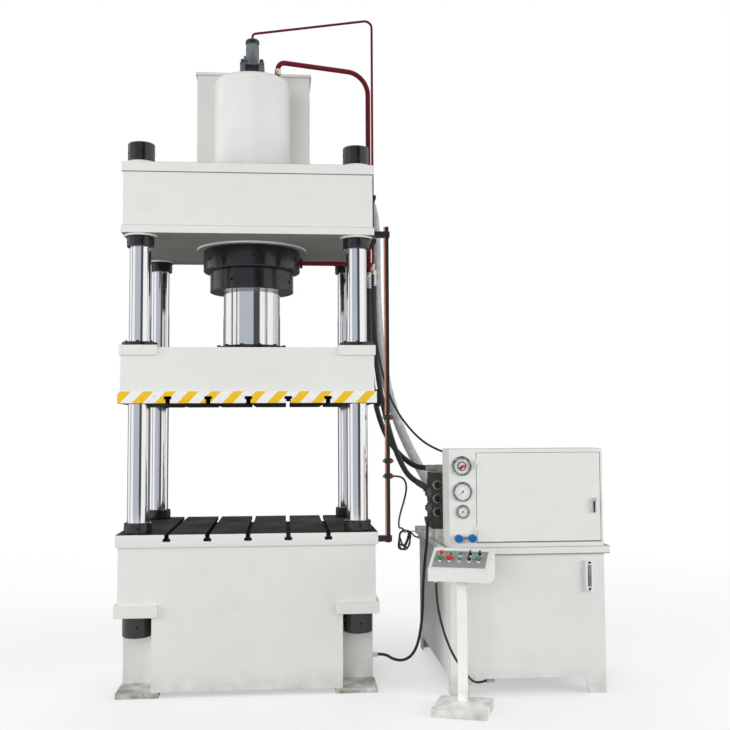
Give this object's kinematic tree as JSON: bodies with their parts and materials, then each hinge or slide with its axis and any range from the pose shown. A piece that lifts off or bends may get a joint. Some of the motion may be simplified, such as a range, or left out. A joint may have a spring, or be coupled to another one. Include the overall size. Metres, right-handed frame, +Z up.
{
  "type": "four-column hydraulic press",
  "caption": "Four-column hydraulic press with T-slotted table and slide, top cylinder, power unit with gauge cabinet and a tilted control pedestal.",
  "frame": {"origin": "on the floor, centre of the foundation bolt pattern of the press", "axes": "+Z up, +X to the right towards the power unit, +Y to the back"},
  "size_m": [2.942, 1.8167, 4.3685],
  "materials": {
    "paint_white": "semi-gloss off-white machine paint",
    "machined_dark": "machined and blackened",
    "chrome_columns": "hard chromed and polished",
    "chrome_ram": "hard chromed and ground",
    "black_nuts": "black machine enamel",
    "seal_rubber": "matt",
    "bush_bronze": "turned bronze",
    "valve_steel": "phosphated steel",
    "paint_maroon": "gloss maroon enamel",
    "zinc_fittings": "yellow zinc plate",
    "paint_black": "black enamel",
    "switch_plastic": "moulded",
    "handle_black": "black powder coat",
    "gear_plastic": "moulded on zinc rails",
    "gauge_black": "black enamelled case, printed dial",
    "needle_black": "matt black",
    "knob_blue": "moulded",
    "manifold_steel": "phosphated steel",
    "paint_motor": "blue-grey enamel",
    "pump_iron": "cast, oiled",
    "level_plastic": "black frame with a clear glass",
    "button_green": "moulded",
    "button_red": "moulded",
    "selector_black": "moulded",
    "hose_black": "matt outer cover",
    "hose_grey": "matt outer cover",
    "cable_black": "matt sheath",
    "cable_brown": "spiral wrapped"
  },
  "bodies": {
    "press": {"base_frame": "paint_white", "column_seats": "paint_white", "foot_plates": "paint_white", "table_plate": "machined_dark", "columns": "chrome_columns", "column_nuts": "black_nuts", "crown": "paint_white", "main_cylinder": "paint_white", "cylinder_lock_nut": "black_nuts", "gland_flange": "black_nuts", "ram_seals": "seal_rubber", "prefill_valve": "valve_steel", "fill_tank": "paint_white", "steel_pipes": "paint_maroon", "pipe_fittings": "zinc_fittings", "switch_bar": "paint_black", "proximity_switches": "switch_plastic", "oil_tank": "paint_white", "tank_cover": "paint_white", "cabinet_shell": "paint_white", "control_gear": "gear_plastic", "gauge_cases": "gauge_black", "manifold_block": "manifold_steel", "manifold_valves": "manifold_steel", "motor": "paint_motor", "pump": "pump_iron", "level_gauge": "level_plastic", "pedestal": "paint_white", "console_box": "paint_white", "hose_main": "hose_black", "hose_return": "hose_black", "hose_fill": "hose_grey", "hose_pilot": "hose_black", "cable_switches": "cable_black", "cable_coil": "cable_brown", "cable_base": "cable_black", "cable_console": "cable_black"},
    "slide": {"ram": "chrome_ram", "ram_flange": "black_nuts", "slide_beam": "paint_white", "slide_plate": "paint_white", "guide_bushes": "bush_bronze", "bush_covers": "black_nuts", "striker": "black_nuts"},
    "door": {"cabinet_door": "paint_white"},
    "lock_lever": {"door_handle": "handle_black"},
    "gauge_needle_main_body": {"gauge_needle_main": "needle_black"},
    "gauge_needle_return_body": {"gauge_needle_return": "needle_black"},
    "gauge_needle_pilot_body": {"gauge_needle_pilot": "needle_black"},
    "valve_knob_left_body": {"valve_knob_left": "knob_blue"},
    "valve_knob_right_body": {"valve_knob_right": "knob_blue"},
    "button_start_body": {"button_start": "button_green"},
    "button_stop_body": {"button_stop": "button_green"},
    "button_up_body": {"button_up": "button_green"},
    "mushroom_down_body": {"mushroom_down": "button_green"},
    "mushroom_run_body": {"mushroom_run": "button_green"},
    "emergency_stop_body": {"emergency_stop": "button_red"},
    "selector_mode_body": {"selector_mode": "selector_black"},
    "selector_pressure_body": {"selector_pressure": "selector_black"},
    "selector_light_body": {"selector_light": "selector_black"}
  },
  "joints": [
    {"name": "slide_travel", "type": "slide", "parent": "press", "child": "slide", "axis": [0, 0, 1], "range_m": [-0.36, 0.34]},
    {"name": "cabinet_door_hinge", "type": "hinge", "parent": "press", "child": "door", "pos_m": [1.354, -0.738, 1.16], "axis": [0, 0, -1], "range_deg": [0, 90]},
    {"name": "lock_lever_turn", "type": "hinge", "parent": "door", "child": "lock_lever", "pos_m": [2.068, -0.737, 1.14], "axis": [0, 1, 0], "range_deg": [0, 90]},
    {"name": "gauge_needle_main_turn", "type": "hinge", "parent": "press", "child": "gauge_needle_main_body", "pos_m": [1.268, -0.738, 1.345], "axis": [0, 1, 0], "range_deg": [0, 270], "stiffness_Nm_per_rad": 0.004},
    {"name": "gauge_needle_return_turn", "type": "hinge", "parent": "press", "child": "gauge_needle_return_body", "pos_m": [1.271, -0.738, 1.192], "axis": [0, 1, 0], "range_deg": [0, 270], "stiffness_Nm_per_rad": 0.004},
    {"name": "gauge_needle_pilot_turn", "type": "hinge", "parent": "press", "child": "gauge_needle_pilot_body", "pos_m": [1.272, -0.738, 1.075], "axis": [0, 1, 0], "range_deg": [0, 270], "stiffness_Nm_per_rad": 0.004},
    {"name": "valve_knob_left_turn", "type": "hinge", "parent": "press", "child": "valve_knob_left_body", "pos_m": [1.242, -0.74, 0.92], "axis": [0, -1, 0], "range_deg": [0, 270]},
    {"name": "valve_knob_right_turn", "type": "hinge", "parent": "press", "child": "valve_knob_right_body", "pos_m": [1.324, -0.74, 0.92], "axis": [0, -1, 0], "range_deg": [0, 270]},
    {"name": "button_start_push", "type": "slide", "parent": "press", "child": "button_start_body", "axis": [0.1559, 0.4192, -0.8944], "range_m": [0, 0.004], "stiffness_N_per_m": 800, "springref_m": -0.002},
    {"name": "button_stop_push", "type": "slide", "parent": "press", "child": "button_stop_body", "axis": [0.1559, 0.4192, -0.8944], "range_m": [0, 0.004], "stiffness_N_per_m": 800, "springref_m": -0.002},
    {"name": "mushroom_down_push", "type": "slide", "parent": "press", "child": "mushroom_down_body", "axis": [0.1559, 0.4192, -0.8944], "range_m": [0, 0.004], "stiffness_N_per_m": 800, "springref_m": -0.002},
    {"name": "button_up_push", "type": "slide", "parent": "press", "child": "button_up_body", "axis": [0.1559, 0.4192, -0.8944], "range_m": [0, 0.004], "stiffness_N_per_m": 800, "springref_m": -0.002},
    {"name": "mushroom_run_push", "type": "slide", "parent": "press", "child": "mushroom_run_body", "axis": [0.1559, 0.4192, -0.8944], "range_m": [0, 0.004], "stiffness_N_per_m": 800, "springref_m": -0.002},
    {"name": "emergency_stop_push", "type": "slide", "parent": "press", "child": "emergency_stop_body", "axis": [0.1559, 0.4192, -0.8944], "range_m": [0, 0.004]},
    {"name": "selector_mode_turn", "type": "hinge", "parent": "press", "child": "selector_mode_body", "pos_m": [1.26272, -0.99693, 0.86047], "axis": [-0.1559, -0.4192, 0.8944], "range_deg": [-45, 45]},
    {"name": "selector_pressure_turn", "type": "hinge", "parent": "press", "child": "selector_pressure_body", "pos_m": [1.31404, -1.01602, 0.86047], "axis": [-0.1559, -0.4192, 0.8944], "range_deg": [-45, 45]},
    {"name": "selector_light_turn", "type": "hinge", "parent": "press", "child": "selector_light_body", "pos_m": [1.2462, -1.04136, 0.83676], "axis": [-0.1559, -0.4192, 0.8944], "range_deg": [-45, 45]}
  ]
}
